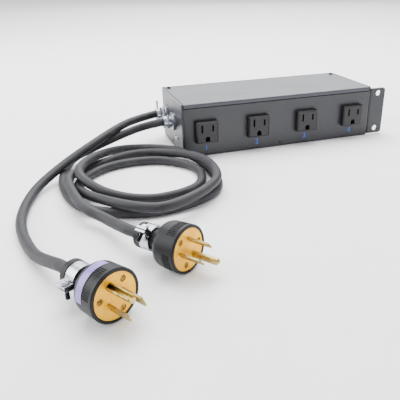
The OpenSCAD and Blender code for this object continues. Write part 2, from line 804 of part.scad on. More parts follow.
blade(plug_a, -1, blade_h);  // line_blade_a
blade(plug_b, -1, blade_h);  // line_blade_b
blade(plug_a, 1, blade_h + 1.6);  // neutral_blade_a
blade(plug_b, 1, blade_h + 1.6);  // neutral_blade_b
ground_pin(plug_a);  // ground_pin_a
ground_pin(plug_b);  // ground_pin_b
strap(plug_a);  // strap_a
strap(plug_b);  // strap_b
cradle(plug_a);  // cradle_a
cradle(plug_b);  // cradle_b
strap_screws(plug_a);  // strap_screws_a
strap_screws(plug_b);  // strap_screws_b
standoffs();
board();
transformer();
relays();
terminals();
heat_sink();
thyristors();
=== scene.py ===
# %% [markdown]
# # A small rack transfer switch, dressed in Blender
#
# The part is a black steel case with four outlets, one rack ear, two cord connectors and two supply
# cords that end in round plugs. Its construction is already settled: every solid piece comes in as a
# mesh that stays where it is. What is left for this lesson is how it looks: the coats and metals, the
# cords as real rubber, the clamps at the plugs, the printed numbers, and the light.

# %% Load the frame
import json
import math
import bpy
import bmesh
from mathutils import Matrix, Vector
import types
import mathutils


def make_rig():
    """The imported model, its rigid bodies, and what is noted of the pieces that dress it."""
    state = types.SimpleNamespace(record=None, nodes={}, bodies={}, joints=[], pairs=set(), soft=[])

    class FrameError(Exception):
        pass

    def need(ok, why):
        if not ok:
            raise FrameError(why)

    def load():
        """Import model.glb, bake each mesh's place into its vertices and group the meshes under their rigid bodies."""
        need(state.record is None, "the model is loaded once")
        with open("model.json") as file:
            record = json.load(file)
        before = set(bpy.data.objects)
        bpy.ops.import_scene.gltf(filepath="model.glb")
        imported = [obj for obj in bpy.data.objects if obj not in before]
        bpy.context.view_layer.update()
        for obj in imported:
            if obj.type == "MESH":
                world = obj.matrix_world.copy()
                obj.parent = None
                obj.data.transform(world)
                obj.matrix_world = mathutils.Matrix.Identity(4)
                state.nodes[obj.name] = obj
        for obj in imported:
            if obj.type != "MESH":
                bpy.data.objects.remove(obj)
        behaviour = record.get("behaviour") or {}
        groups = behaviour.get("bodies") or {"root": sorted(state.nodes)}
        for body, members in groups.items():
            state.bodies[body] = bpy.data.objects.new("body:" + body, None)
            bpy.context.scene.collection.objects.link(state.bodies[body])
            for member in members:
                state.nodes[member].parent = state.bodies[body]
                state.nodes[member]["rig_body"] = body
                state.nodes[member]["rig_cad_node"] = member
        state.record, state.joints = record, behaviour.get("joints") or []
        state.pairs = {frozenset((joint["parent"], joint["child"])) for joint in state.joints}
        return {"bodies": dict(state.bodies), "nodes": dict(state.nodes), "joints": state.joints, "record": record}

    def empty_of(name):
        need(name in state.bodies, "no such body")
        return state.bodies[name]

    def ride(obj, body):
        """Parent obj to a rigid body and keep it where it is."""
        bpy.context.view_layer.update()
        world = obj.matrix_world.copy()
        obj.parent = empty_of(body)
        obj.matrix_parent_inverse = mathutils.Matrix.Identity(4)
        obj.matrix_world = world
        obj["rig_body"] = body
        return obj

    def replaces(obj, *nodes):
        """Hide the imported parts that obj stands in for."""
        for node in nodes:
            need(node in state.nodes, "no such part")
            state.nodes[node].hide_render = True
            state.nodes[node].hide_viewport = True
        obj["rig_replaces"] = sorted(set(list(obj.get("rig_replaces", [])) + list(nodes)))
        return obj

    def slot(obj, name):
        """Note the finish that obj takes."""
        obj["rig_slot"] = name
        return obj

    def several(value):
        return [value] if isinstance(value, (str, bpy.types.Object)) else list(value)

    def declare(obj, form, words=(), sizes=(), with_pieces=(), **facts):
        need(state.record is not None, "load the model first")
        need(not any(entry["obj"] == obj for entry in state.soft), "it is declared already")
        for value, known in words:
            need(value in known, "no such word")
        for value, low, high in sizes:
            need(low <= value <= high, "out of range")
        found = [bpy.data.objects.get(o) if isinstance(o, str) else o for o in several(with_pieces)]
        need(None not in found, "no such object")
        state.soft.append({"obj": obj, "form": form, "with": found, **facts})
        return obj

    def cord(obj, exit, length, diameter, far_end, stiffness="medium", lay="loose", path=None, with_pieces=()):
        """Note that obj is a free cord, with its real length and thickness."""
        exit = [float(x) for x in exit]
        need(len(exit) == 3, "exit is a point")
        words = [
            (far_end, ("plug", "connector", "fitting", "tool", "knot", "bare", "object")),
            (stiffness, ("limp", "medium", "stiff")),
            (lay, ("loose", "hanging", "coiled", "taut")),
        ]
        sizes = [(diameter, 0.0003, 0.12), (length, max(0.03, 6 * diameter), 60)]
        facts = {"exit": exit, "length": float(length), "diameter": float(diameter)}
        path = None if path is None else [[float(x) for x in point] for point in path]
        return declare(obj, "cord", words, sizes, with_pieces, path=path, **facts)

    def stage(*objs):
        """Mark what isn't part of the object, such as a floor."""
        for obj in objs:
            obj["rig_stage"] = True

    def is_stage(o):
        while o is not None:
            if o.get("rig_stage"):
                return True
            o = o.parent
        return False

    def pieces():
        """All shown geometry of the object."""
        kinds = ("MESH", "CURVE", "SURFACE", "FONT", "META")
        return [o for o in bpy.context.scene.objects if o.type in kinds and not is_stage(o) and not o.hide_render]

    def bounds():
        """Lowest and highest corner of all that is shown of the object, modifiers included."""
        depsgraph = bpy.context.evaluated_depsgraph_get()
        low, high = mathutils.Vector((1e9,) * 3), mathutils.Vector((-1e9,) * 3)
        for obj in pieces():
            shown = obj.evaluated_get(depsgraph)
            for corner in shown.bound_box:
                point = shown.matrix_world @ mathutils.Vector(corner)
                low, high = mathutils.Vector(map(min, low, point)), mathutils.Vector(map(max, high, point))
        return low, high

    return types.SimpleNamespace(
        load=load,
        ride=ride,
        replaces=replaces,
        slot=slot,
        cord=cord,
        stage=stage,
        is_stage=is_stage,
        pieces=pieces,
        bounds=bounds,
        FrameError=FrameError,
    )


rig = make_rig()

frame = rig.load()
nodes = frame["nodes"]
cad_low, cad_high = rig.bounds()
print("pieces in the frame:", len(nodes))
print("their box:", [round(v, 3) for v in cad_low], [round(v, 3) for v in cad_high])

# %% [markdown]
# ## Where things are
#
# The drawing of the case counts millimetres from its front left bottom corner. Blender counts metres
# from under the middle of the part. One function turns the first into the second, so every number
# below can be read off the drawing.

# %% From the drawing to the scene
MID_X, MID_Y = 124.0, 43.9


def at(x, y, z):
    """A point of the drawing, in millimetres, as a place in the scene, in metres."""
    return Vector(((x - MID_X) / 1000, (y - MID_Y) / 1000, z / 1000))


print("front left corner:", [round(v, 4) for v in at(0, 0, 0)])

# %% [markdown]
# ## The camera
#
# The camera stands in front and to the left, a little above the case, and looks down on it. The
# angles are turns about Z, X and Y, taken in that order. The lens is a short telephoto, and a small
# sideways shift keeps the case from the edge of the frame.

# %% Camera
PAN, TILT, ROLL = -0.3433, -0.4414, 0.0091  # radians
STAND = (-130.83, -519.45, 199.75)
LENS, SENSOR = 45.2331, 36  # millimetres
look = Matrix.Rotation(PAN, 3, "Z") @ Matrix.Rotation(TILT, 3, "X") @ Matrix.Rotation(ROLL, 3, "Y")
right, forward, up = look.col[0], look.col[1], look.col[2]
camera_data = bpy.data.cameras.new("camera")
camera_data.sensor_width = SENSOR
camera_data.lens = LENS
camera_data.shift_x = -0.075
camera = bpy.data.objects.new("camera", camera_data)
bpy.context.scene.collection.objects.link(camera)
axes = Matrix((right, up, -forward)).transposed().to_4x4()
camera.matrix_world = Matrix.Translation(at(*STAND)) @ axes
bpy.context.scene.camera = camera
print("lens", round(camera_data.lens, 2), "mm")

# %% [markdown]
# ## A small language for materials
#
# Blender's shader maths is a graph of nodes, which is slow to read when it is built call by call. A
# thin class wraps one output of a node and gives it the usual operators, so that `1 - mask` simply
# adds a Math node. Colours go through a Mix node instead, since a Math node would turn them grey.

# %% Wires, nodes and finishes
class Wire:
    """One output of a node, which can be used in sums as a number can."""

    def __init__(self, finish, socket):
        self.finish, self.socket = finish, socket

    def sum(self, operation, *values):
        return self.finish.node("ShaderNodeMath", {"operation": operation}, dict(enumerate(values)))[0]

    def __add__(self, other):
        return self.sum("ADD", self, other)

    def __sub__(self, other):
        return self.sum("SUBTRACT", self, other)

    def __rsub__(self, other):
        return self.sum("SUBTRACT", other, self)

    def __mul__(self, other):
        return self.sum("MULTIPLY", self, other)

    def __abs__(self):
        return self.sum("ABSOLUTE", self)

    __radd__ = __add__

    def least(self, other):
        return self.sum("MINIMUM", self, other)

    def most(self, other):
        return self.sum("MAXIMUM", self, other)

    def ramp(self, start, end):
        """0 at start, 1 at end, and smooth between the two; start may be the larger."""
        low, high = min(start, end), max(start, end)
        sockets = {"Value": self, "From Min": low, "From Max": high}
        made = self.finish.node("ShaderNodeMapRange", {"interpolation_type": "SMOOTHSTEP"}, sockets)[0]
        return made if start < end else 1 - made


class Finish:
    """A material: one Principled shader, and the nodes that feed it."""

    def __init__(self, name, **constants):
        self.material = bpy.data.materials.new(name)
        self.material.use_nodes = True
        self.tree = self.material.node_tree
        self.tree.nodes.clear()
        self.shader = self.tree.nodes.new("ShaderNodeBsdfPrincipled")
        output = self.tree.nodes.new("ShaderNodeOutputMaterial")
        self.tree.links.new(self.shader.outputs[0], output.inputs[0])
        self.feed({name.replace("_", " ").title(): value for name, value in constants.items()})

    def put(self, socket, value):
        if isinstance(value, Wire):
            self.tree.links.new(value.socket, socket)
        elif socket.type == "RGBA" and len(value) == 3:
            socket.default_value = (*value, 1)
        else:
            socket.default_value = value

    def node(self, kind, settings, sockets):
        made = self.tree.nodes.new(kind)
        for name, value in settings.items():
            setattr(made, name, value)
        for key, value in sockets.items():
            self.put(made.inputs[key], value)
        return [Wire(self, out) for out in made.outputs if out.enabled]

    def feed(self, sockets):
        for name, value in sockets.items():
            self.put(self.shader.inputs[name.replace("Ior", "IOR")], value)
        return self

    def point(self):
        """The point in the piece's own coordinates, in metres, which is the fourth output."""
        return self.node("ShaderNodeTexCoord", {}, {})[3]

    def place(self):
        """The three coordinates of the point, as wires."""
        return self.node("ShaderNodeSeparateXYZ", {}, {0: self.point()})

    def noise(self, size, detail=3, rough=0.5):
        """Clouds of about that size in millimetres."""
        sockets = {"Vector": self.point(), "Scale": 1000 / size, "Detail": detail, "Roughness": rough}
        return self.node("ShaderNodeTexNoise", {}, sockets)[0]

    def mix(self, factor, a, b):
        """Colour a where factor is 0, colour b where it is 1."""
        made = self.tree.nodes.new("ShaderNodeMix")
        made.data_type = "RGBA"
        for key, value in (("Factor_Float", factor), ("A_Color", a), ("B_Color", b)):
            self.put(next(s for s in made.inputs if s.identifier == key), value)
        return Wire(self, next(s for s in made.outputs if s.identifier == "Result_Color"))

    def bump(self, height, depth, strength=1.0):
        """Height from 0 to 1, as relief of that depth in millimetres."""
        sockets = {"Height": height, "Distance": depth / 1000, "Strength": strength}
        return self.feed({"Normal": self.node("ShaderNodeBump", {}, sockets)[0]})


def srgb(red, green, blue):
    """A screen colour, 0 to 255, as light."""
    return tuple((v / 255 / 12.92) if v <= 10 else ((v / 255 + 0.055) / 1.055) ** 2.4
                 for v in (red, green, blue))


print("a mid grey on screen is", round(srgb(128, 128, 128)[0], 3), "as light")

# %% [markdown]
# ## The supply cords
#
# A rubber cord has no shape of its own. It keeps the lazy curves in which it was put down, lies on
# the table, and climbs over itself in long low humps. The routes are the same points as in the
# drawing. They weren't chosen by hand: a fitting program found them, and a second one rounded them.
# The loose turns are given as a distance and a height at each eighth of a turn. A smooth curve is
# drawn through the points, and a tube is swept along it. Sweeping the mesh ourselves, instead of
# using a bevelled curve, gives the jacket coordinates along and around it, which the rubber's finish
# needs.

# %% Routes, in millimetres
CORD = 9.0
PLUG_LEN = 46.0
LEAD = 14          # straight run of cord behind a plug
PLUG_R = 18.2
TAPER = 2.5        # degrees
REST_Z = PLUG_R / math.cos(math.radians(TAPER))
# place of the face, turn from the front, and roll of the ground pin
PLUGS = {"a": ((-112, -261, REST_Z), 30, 22), "b": ((-56, -224, REST_Z), 35, -139)}
COIL_X, COIL_Y, COIL_START, COIL_STEP = -57, -47, 135, 45


def behind(plug, back):
    """A point on a plug's axis, back millimetres behind its face."""
    (x, y, z), turn, _ = PLUGS[plug]
    flat, turn = math.cos(math.radians(TAPER)), math.radians(turn)
    axis = (flat * math.sin(turn), -flat * math.cos(turn), math.sin(math.radians(TAPER)))
    return tuple(c - back * a for c, a in zip((x, y, z), axis))


route_a = [(-5, 76, 33), (-16, 76, 33), (-54, 55, 31), (-94, 19, 24), (-134, -16, 13),
           (-160, -53, 5.5), (-170, -111, 5), (-161, -166, 5.5),
           behind("a", PLUG_LEN + LEAD), behind("a", PLUG_LEN)]
turns = [(91, 6.5), (75, 5), (81, 4.6), (82, 4.6), (84, 5), (71, 5), (70, 10), (86, 6.5),
         (60, 16), (59, 16.5), (54, 9.5), (56, 5), (64, 5.5), (59, 4.6), (49, 5), (45, 4.6),
         (49, 5), (61, 5.5), (69, 10.5), (98, 15.5), (84, 15), (67, 14.5), (57, 11.5), (63, 7),
         (63, 5), (69, 13), (90, 14)]
route_b = [(-5, 39, 33), (-16, 39, 33), (-45, 47, 25.5), (-93, 32, 15)]
for i, (far, high) in enumerate(turns):
    angle = math.radians(COIL_START + COIL_STEP * i)
    route_b.append((COIL_X + far * math.cos(angle), COIL_Y + far * math.sin(angle), high))
route_b += [(-104, -140, 11), behind("b", PLUG_LEN + LEAD), behind("b", PLUG_LEN)]
print("route points:", len(route_a), "and", len(route_b))


# %% A smooth line through the points
def smooth(route, step=3.0):
    """Places in metres, about step millimetres apart, on the curve through a route."""
    points = [at(*p) for p in route]
    line = []
    for i in range(len(points) - 1):
        a, b = points[i], points[i + 1]
        before, after = points[max(i - 1, 0)], points[min(i + 2, len(points) - 1)]
        straight = i in (0, len(points) - 2)
        count = max(2, round((b - a).length * 1000 / step))
        for k in range(count):
            t = k / count
            if straight:
                line.append(a.lerp(b, t))
            else:
                line.append(0.5 * (2 * a + (b - before) * t
                                   + (2 * before - 5 * a + 4 * b - after) * t * t
                                   + (3 * a - before - 3 * b + after) * t ** 3))
    return line + [points[-1]]


def length(line):
    return sum((q - p).length for p, q in zip(line, line[1:]))


line_a, line_b = smooth(route_a), smooth(route_b)
print("cord lengths in metres:", round(length(line_a), 3), "and", round(length(line_b), 3))


# %% Sweep a tube
def new_object(name, mesh):
    made = bpy.data.objects.new(name, mesh)
    bpy.context.scene.collection.objects.link(made)
    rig.ride(made, "root")
    return made


def made_from(shape, name):
    """A new object from an edited shape, which is freed."""
    mesh = bpy.data.meshes.new(name)
    shape.to_mesh(mesh)
    shape.free()
    return new_object(name, mesh)


def tube(name, line, radius, sides=20):
    """A closed tube along a line, with a map of the way along (in metres) and round it (0 to 1)."""
    shape = bmesh.new()
    uv = shape.loops.layers.uv.new("jacket")
    side = None
    rings, run = [], [0.0]
    for i, point in enumerate(line):
        way = (line[min(i + 1, len(line) - 1)] - line[max(i - 1, 0)]).normalized()
        side = way.orthogonal().normalized() if side is None else (side - way * side.dot(way)).normalized()
        rise = way.cross(side)
        rings.append([shape.verts.new(point + radius * (math.cos(t) * side + math.sin(t) * rise))
                      for t in (2 * math.pi * k / sides for k in range(sides))])
        run.append(run[-1] + (line[min(i + 1, len(line) - 1)] - point).length)
    for i in range(len(rings) - 1):
        for k in range(sides):
            face = shape.faces.new((rings[i][k], rings[i][(k + 1) % sides],
                                    rings[i + 1][(k + 1) % sides], rings[i + 1][k]))
            face.smooth = True
            for loop, (u, v) in zip(face.loops, ((i, k), (i, k + 1), (i + 1, k + 1), (i + 1, k))):
                loop[uv].uv = (run[u], v / sides)
    shape.faces.new(reversed(rings[0]))
    shape.faces.new(rings[-1])
    return made_from(shape, name)


cord_a = tube("supply_cord_a", line_a, CORD / 2000)
cord_b = tube("supply_cord_b", line_b, CORD / 2000)
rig.replaces(cord_a, "cord_a")
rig.replaces(cord_b, "cord_b")
print("tube faces:", len(cord_a.data.polygons), len(cord_b.data.polygons))

# %% [markdown]
# ## The jacket
#
# Rubber-jacketed cord is a charcoal grey, paler where talc and dust cling to it. Close up it shows
# fine lines along it, from the die that it was drawn through. The lines follow the coordinates along
# the tube, and the clouds follow the place.

# %% Jacket finish
jacket = Finish("cord_jacket", roughness=0.6, specular_ior_level=0.3)
strip = jacket.node("ShaderNodeUVMap", {"uv_map": "jacket"}, {})[0]
drawn = jacket.node("ShaderNodeMapping", {}, {"Vector": strip, "Scale": (14, 26, 1)})[0]
lines = jacket.node("ShaderNodeTexNoise", {"noise_dimensions": "2D"},
                    {"Vector": drawn, "Scale": 4.0, "Detail": 2})[0]
dust = jacket.noise(14, 4, 0.6).ramp(0.4, 0.75)
grain = jacket.noise(0.7, 2)
shade = jacket.mix(dust * 0.5 + lines * 0.5, srgb(22, 22, 25), srgb(58, 58, 62))
jacket.feed({"Base Color": shade, "Roughness": 0.52 + dust * 0.16})
jacket.bump(lines * 0.6 + grain * 0.4, 0.12, 0.6)
for cord in (cord_a, cord_b):
    cord.data.materials.append(jacket.material)
    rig.slot(cord, "cord_jacket")
print("jacket nodes:", len(jacket.tree.nodes))

# %% [markdown]
# ## Dressing the solids
#
# The solids from the drawing keep their shapes, so each only needs its finish. Folded and moulded
# edges are never knife sharp, and the thin bright line along an edge is what tells the eye that a
# thing is real. A bevel modifier of a fraction of a millimetre adds that line without changing the
# size of a piece.

# %% Finish for a solid
def soften(piece, bevel):
    """Round every edge sharper than 40 degrees, by a width in millimetres."""
    cut = piece.modifiers.new("edge", "BEVEL")
    cut.width, cut.segments, cut.limit_method = bevel / 1000, 2, "ANGLE"
    cut.angle_limit = math.radians(40)


def dress(finish, *names, bevel=0.0):
    for name in names:
        piece = nodes[name]
        piece.data.materials.clear()
        piece.data.materials.append(finish.material)
        if bevel:
            soften(piece, bevel)


def both(*stems, ends=("a", "b")):
    """The names of the pieces that come in twos, such as shell_a and shell_b."""
    return [f"{stem}_{end}" for stem in stems for end in ends]


print("plug pieces:", both("shell", "face"))

# %% [markdown]
# ## Black powder coat
#
# The case is folded steel under a satin black powder coat. The powder melts into a skin with a fine
# orange-peel texture, thinner on the edges, where it rubs through to a greyer tone. The distance to
# the nearest edge of a box is the second smallest of the distances to its three pairs of sides, and
# that is enough to place the wear.

# %% Powder coat
def edge_distance(finish, low, high):
    """How far a point on a box is from the box's nearest edge, in metres."""
    a, b, c = [abs(abs(axis - (lo + hi) / 2) - (hi - lo) / 2)
               for axis, lo, hi in zip(finish.place(), low, high)]
    return a.least(b).most(a.most(b).least(c))


def powder_coat(name, low, high, dark, pale, gloss):
    coat = Finish(name, specular_ior_level=0.55)
    clouds = coat.noise(55, 3, 0.5).ramp(0.35, 0.7)
    peel = coat.noise(0.9, 2, 0.4)
    scuffs = coat.noise(3.5, 5, 0.7).ramp(0.56, 0.7)
    near = edge_distance(coat, low, high).ramp(0.0016, 0.0002)
    worn = near * (0.35 + scuffs * 0.65)
    shade = coat.mix(clouds * 0.6 + peel * 0.2, dark, pale)
    coat.feed({"Base Color": coat.mix(worn * 0.55, shade, srgb(86, 88, 96)),
               "Roughness": gloss + clouds * 0.06 + scuffs * 0.05 - near * 0.08})
    return coat.bump(peel, 0.05, 0.5)


CASE_LOW, CASE_HIGH = at(0, 0, 0), at(240, 95, 61)
EAR_LOW, EAR_HIGH = at(240, 0.6, 1.5), at(261, 42.6, 58.5)
case_coat = powder_coat("case_powder_coat", CASE_LOW, CASE_HIGH,
                        srgb(20, 21, 27), srgb(30, 31, 38), 0.36)
# Painted light: the lid takes the case's black coat in a paler grey, painted lighter so that the top reads as lit from
# above.
lid_coat_painted_light = powder_coat("lid_powder_coat_painted_light", CASE_LOW, CASE_HIGH,
                       srgb(40, 42, 50), srgb(52, 54, 63), 0.34)
ear_coat = powder_coat("ear_powder_coat", EAR_LOW, EAR_HIGH,
                       srgb(22, 23, 28), srgb(32, 33, 39), 0.4)
dress(case_coat, "chassis", bevel=0.25)
dress(lid_coat_painted_light, "lid", bevel=0.25)
dress(ear_coat, "rack_ear", bevel=0.25)
print("powder coats:", case_coat.material.name, lid_coat_painted_light.material.name, ear_coat.material.name)

# %% [markdown]
# ## Moulded black plastic
#
# Outlets and plug shells are moulded in black thermoplastic. Two things set such a moulding apart
# from painted steel: a texture that is finer and softer, from the tool's spark-eroded skin, and a
# slightly warmer, flatter black.

# %% Moulded plastics
def moulded(name, dark, pale, gloss, grain=0.5, relief=0.04, shine=0.5):
    plastic = Finish(name, specular_ior_level=shine)
    clouds = plastic.noise(20, 4, 0.6).ramp(0.35, 0.7)
    skin = plastic.noise(grain, 2, 0.5)
    plastic.feed({"Base Color": plastic.mix(clouds * 0.7 + skin * 0.25, dark, pale),
                  "Roughness": gloss + skin * 0.12 + clouds * 0.05})
    return plastic.bump(skin, relief, 0.6)


outlet_plastic = moulded("outlet_plastic", srgb(14, 14, 16), srgb(24, 24, 27), 0.34, shine=0.4)
shell_plastic = moulded("shell_plastic", srgb(8, 8, 10), srgb(18, 19, 23), 0.38, shine=0.25)
dress(outlet_plastic, *[f"outlet_{i}" for i in (1, 2, 3, 4)], bevel=0.2)
dress(shell_plastic, *both("shell"))
print("plastics:", outlet_plastic.material.name, shell_plastic.material.name)

# %% [markdown]
# ## Bright zinc and cast zinc
#
# The straps and screws are steel with a bright zinc plate, a little blue and never quite even. The
# connector bodies are die-cast zinc, duller and rougher, with the shallow ripple of the die.

# %% Metals
def metal(name, dark, pale, gloss, size=6.0, relief=0.03, grain=0.6):
    made = Finish(name, metallic=1.0)
    clouds = made.noise(size, 5, 0.65).ramp(0.3, 0.72)
    rub = made.noise(grain, 3, 0.6)
    made.feed({"Base Color": made.mix(clouds * 0.75 + rub * 0.25, dark, pale),
               "Roughness": gloss + clouds * 0.14 + rub * 0.08})
    return made.bump(rub * 0.5 + clouds * 0.5, relief, 0.7)


zinc = metal("bright_zinc", srgb(150, 154, 162), srgb(214, 217, 223), 0.18)
cast_zinc = metal("cast_zinc", srgb(104, 108, 116), srgb(176, 180, 188), 0.26,
                  size=3.0, relief=0.12, grain=0.9)
# Black steel is the real finish of the lid screws and the ear rivets; on the clamp screws' threads it is painted
# shade.
black_steel = metal("black_steel", srgb(38, 38, 40), srgb(70, 70, 74), 0.34)
dress(zinc, "bracket_screw", *both("clamp_screws", "locknut", ends=("rear", "front")),
      *both("strap", "cradle", "strap_screws"), bevel=0.12)
dress(cast_zinc, *both("connector", "saddle", ends=("rear", "front")), bevel=0.15)
dress(black_steel, "lid_screws", "ear_rivets", bevel=0.1)
print("metals:", zinc.material.name, cast_zinc.material.name, black_steel.material.name)

# %% [markdown]
# ## Brass and gold
#
# The plug's face is a gold-coloured plate with a soft sheen, and the blades are a paler, greyer
# brass. The contacts deep inside the outlets are painted darker and duller than brass, as painted
# shade, so that the slots read as black.

# %% Gold faces and brass blades
gold = Finish("gold_face", metallic=0.45, specular_ior_level=0.35)
gold_clouds = gold.noise(9, 3, 0.5).ramp(0.3, 0.7)
gold_grain = gold.noise(0.5, 2, 0.5)
gold.feed({"Base Color": gold.mix(gold_clouds * 0.8 + gold_grain * 0.2, srgb(234, 166, 18), srgb(250, 194, 40)),
           "Roughness": 0.34 + gold_grain * 0.12})
gold.bump(gold_grain, 0.03, 0.5)
blade_brass = metal("blade_brass", srgb(150, 130, 70), srgb(214, 194, 128), 0.26, 4.0)
# Painted shade: the contacts get a dark, dull brass so that the deep slots they sit in read as black.
contact_brass = metal("contact_brass", srgb(52, 42, 26), srgb(84, 70, 44), 0.45, 3.0)
screw_brass = metal("screw_brass", srgb(120, 90, 44), srgb(190, 146, 78), 0.3, 2.0)
dress(gold, *both("face"), bevel=0.12)
dress(blade_brass, *both("line_blade", "neutral_blade", "ground_pin"), bevel=0.15)
dress(contact_brass, *[f"contacts_{i}" for i in (1, 2, 3, 4)])
dress(screw_brass, *both("face_screws"), bevel=0.08)
print("golds:", gold.material.name, blade_brass.material.name)

# %% [markdown]
# ## Inside the case
#
# Nothing inside shows while the lid is on. It still gets its real materials, so that the part looks
# right if somebody takes the lid off: a green board, a varnished transformer, blue relays, a green
# terminal block, and an extruded heat sink with black thyristor modules.

# %% Inner finishes
board_green = moulded("board_green", srgb(14, 74, 40), srgb(26, 98, 54), 0.3, 1.2)
core = moulded("transformer_core", srgb(70, 58, 40), srgb(108, 88, 58), 0.45, 0.8, 0.08)
relay_blue = moulded("relay_plastic", srgb(30, 52, 92), srgb(44, 70, 118), 0.3)
terminal_green = moulded("terminal_plastic", srgb(24, 110, 62), srgb(40, 140, 80), 0.38)
thyristor_black = moulded("thyristor_plastic", srgb(28, 28, 31), srgb(44, 44, 48), 0.45)
sink_metal = metal("heat_sink_aluminium", srgb(176, 179, 184), srgb(220, 222, 226), 0.3, 8.0, 0.05)
lamp_lens = moulded("lamp_lens", srgb(22, 22, 25), srgb(40, 40, 44), 0.12, 2.0, 0.0)
dress(board_green, "board")
dress(core, "transformer")
dress(relay_blue, "relays", bevel=0.4)
dress(terminal_green, "terminals")
dress(thyristor_black, "thyristors", bevel=0.4)
dress(sink_metal, "heat_sink")
dress(zinc, "standoffs")
dress(lamp_lens, "indicator")
print("inner finishes:", board_green.material.name, core.material.name, sink_metal.material.name)

# %% [markdown]
# ## The band on one plug
#
# One plug carries a lilac paper band behind its ribs, and it is left bare here. The band is a strip
# of the shell's own surface, a tenth of a millimetre proud of it, so it is drawn as arcs round the
# plug's axis, between two distances behind the face.

# %% Places on a plug
def plug_frame(plug):
    """From a plug's own axes (Z out of its face, Y towards the ground pin) to the scene."""
    place, turn, roll = PLUGS[plug]
    return (Matrix.Translation(at(*place)) @ Matrix.Rotation(math.radians(turn), 4, "Z")
            @ Matrix.Rotation(math.radians(90 - TAPER), 4, "X")
            @ Matrix.Rotation(math.radians(roll), 4, "Z"))


def shell_radius(back):
    """Radius of the shell, back millimetres behind its face."""
    side, shoulder = 16.0, 6.0  # length of the tapered side, radius of the rounding behind it
    if back <= side:
        return PLUG_R - back * math.tan(math.radians(TAPER))
    rear = PLUG_R - side * math.tan(math.radians(TAPER))
    return rear - shoulder + math.sqrt(max(0.0, shoulder ** 2 - (back - side) ** 2))


def band(name, plug, start, end, front, back, proud=0.12):
    """A strip on the shell between two angles (degrees) and two distances behind the face."""
    shape = bmesh.new()
    place = plug_frame(plug)
    rows, columns = 6, 48
    grid = []
    for i in range(rows + 1):
        far = front + (back - front) * i / rows
        radius = shell_radius(far) + proud
        row = []
        for k in range(columns + 1):
            t = math.radians(start + (end - start) * k / columns)
            spot = Vector((radius * math.cos(t), radius * math.sin(t), -far)) / 1000
            row.append(shape.verts.new(place @ spot))
        grid.append(row)
    for i in range(rows):
        for k in range(columns):
            corners = grid[i][k], grid[i + 1][k], grid[i + 1][k + 1], grid[i][k + 1]
            shape.faces.new(corners).smooth = True
    return made_from(shape, name)


paper = Finish("lilac_paper", roughness=0.42, coat_weight=0.3, coat_roughness=0.3)
fibre = paper.noise(1.2, 4, 0.6)
smudge = paper.noise(7, 3, 0.5).ramp(0.4, 0.7)
paper.feed({"Base Color": paper.mix(fibre * 0.4 + smudge * 0.5,
                                    srgb(104, 88, 168), srgb(142, 128, 200))})
paper.bump(fibre, 0.02, 0.4)
BAND_FRONT, BAND_BACK = 10.3, 16.5
lilac = band("lilac_band_a", "a", 50, 160, BAND_FRONT, BAND_BACK)
lilac.data.materials.append(paper.material)
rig.slot(lilac, "shell_plastic")
print("band from", BAND_FRONT, "to", BAND_BACK, "mm behind the face")

# %% [markdown]
# ## The cord clamps
#
# Two arched straps hold the cord at each plug, drawn together by two slotted screws. A strap can be
# turned on its neck before it is tightened, and the two plugs were put together differently: on one
# the straps lie level, and on the other they are tipped by about 49 degrees. The drawing has the
# second clamp at another angle, so copies of its meshes are turned about the plug's axis and stand
# in for them. The screws are new. Each has rings for its thread, and a head that is a flat disc
# under two half moons, with the slot left open between them.

# %% Shapes for the screws
CLAMP_AT = 34.9                        # middle of a strap behind the face
CLAMP_TURN = {"a": -21.8, "b": 90}     # against the ground pin, in degrees
STRAP_TOP, SCREW_X = 2.1, 12.4         # face of the upper ear, and a screw's place on it
THREAD_TIP, THREAD_LOW, THREAD_HIGH, PITCH = 1.2, 1.25, 1.6, 0.7
HEAD = [(3.35, 0), (3.4, 0.5), (3.2, 1.1)]
HEAD_TOP = (2.5, 2.2)


def rings_to_faces(shape, rings, material=0):
    """Join rings of points into a closed skin with flat ends."""
    for lower, upper in zip(rings, rings[1:]):
        for k in range(len(lower)):
            n = (k + 1) % len(lower)
            shape.faces.new((lower[k], lower[n], upper[n], upper[k])).material_index = material
    for end in (reversed(rings[0]), rings[-1]):
        shape.faces.new(end).material_index = material


def turned(shape, place, profile, material=0, sides=28):
    """A turned solid: (radius, height) pairs in millimetres, about the Y axis of a place."""
    rings = []
    for radius, high in profile:
        around = [2 * math.pi * k / sides for k in range(sides)]
        spots = [Vector((radius * math.sin(t), high, radius * math.cos(t))) / 1000 for t in around]
        rings.append([shape.verts.new(place @ spot) for spot in spots])
    rings_to_faces(shape, rings, material)


def half_moon(shape, place, way, low, high, slot=0.4, steps=14):
    """Half of a slotted head, between two (radius, height) pairs; way is 1 or -1."""
    rings = []
    for radius, level in (low, high):
        first = math.asin(slot / radius)
        angles = [first + (math.pi - 2 * first) * k / steps for k in range(steps + 1)]
        spots = [Vector((way * radius * math.sin(t), level, way * radius * math.cos(t))) / 1000
                 for t in angles]
        rings.append([shape.verts.new(place @ spot) for spot in spots])
    rings_to_faces(shape, rings)


